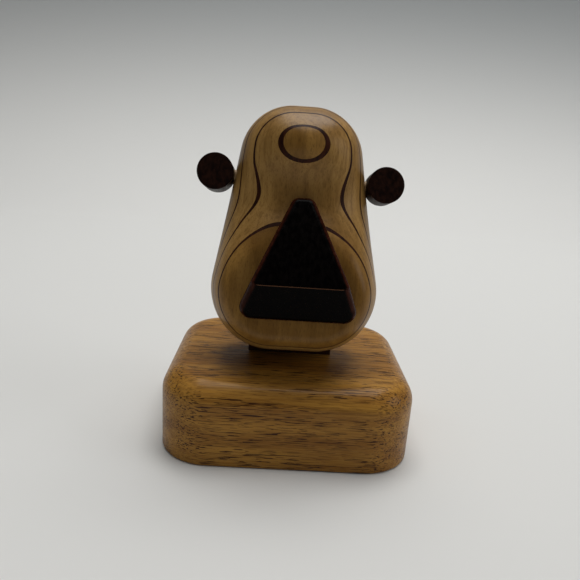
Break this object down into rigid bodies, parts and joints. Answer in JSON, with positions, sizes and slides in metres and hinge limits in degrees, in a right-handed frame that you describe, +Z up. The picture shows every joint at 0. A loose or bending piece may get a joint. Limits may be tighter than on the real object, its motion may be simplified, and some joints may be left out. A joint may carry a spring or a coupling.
{
  "type": "eyeglasses display stand",
  "caption": "Small wooden face-shaped eyeglasses stand: leaning laminated head with wedge nose and dowel eyes, on a neck block and rounded base.",
  "frame": {"origin": "centre of the base's underside, on the surface that the stand rests on", "axes": "+X to the viewer's right across the face, +Y from the face to the back, +Z up"},
  "size_m": [0.062, 0.052, 0.0829],
  "materials": {
    "base_wood": "oiled open-pored brown hardwood, satin",
    "neck_wood": "oiled dark reddish-brown hardwood, satin",
    "head_maple": "light maple boards, hand rubbed, satin",
    "dark_veneer": "thin dark brown veneer, satin",
    "nose_wood": "polished near-black hardwood with reddish-brown rubbed edges",
    "eye_wood": "polished dark hardwood dowel",
    "peg_wood": "plain birch dowel",
    "screw_steel": "plain steel wood screw"
  },
  "bodies": {
    "root": {"base_block": "base_wood", "neck_block": "neck_wood", "head_board_1_face": "head_maple", "head_board_1_brow": "head_maple", "head_board_2": "head_maple", "head_board_3": "head_maple", "head_board_4": "head_maple", "head_board_5": "head_maple", "head_board_6": "head_maple", "head_veneer_1_face": "dark_veneer", "head_veneer_1_brow": "dark_veneer", "head_veneer_2": "dark_veneer", "head_veneer_3": "dark_veneer", "head_veneer_4": "dark_veneer", "head_veneer_5": "dark_veneer", "nose_block": "nose_wood", "left_eye": "eye_wood", "right_eye": "eye_wood", "left_eye_peg": "peg_wood", "right_eye_peg": "peg_wood", "neck_screw": "screw_steel", "base_screws": "screw_steel"}
  },
  "joints": []
}
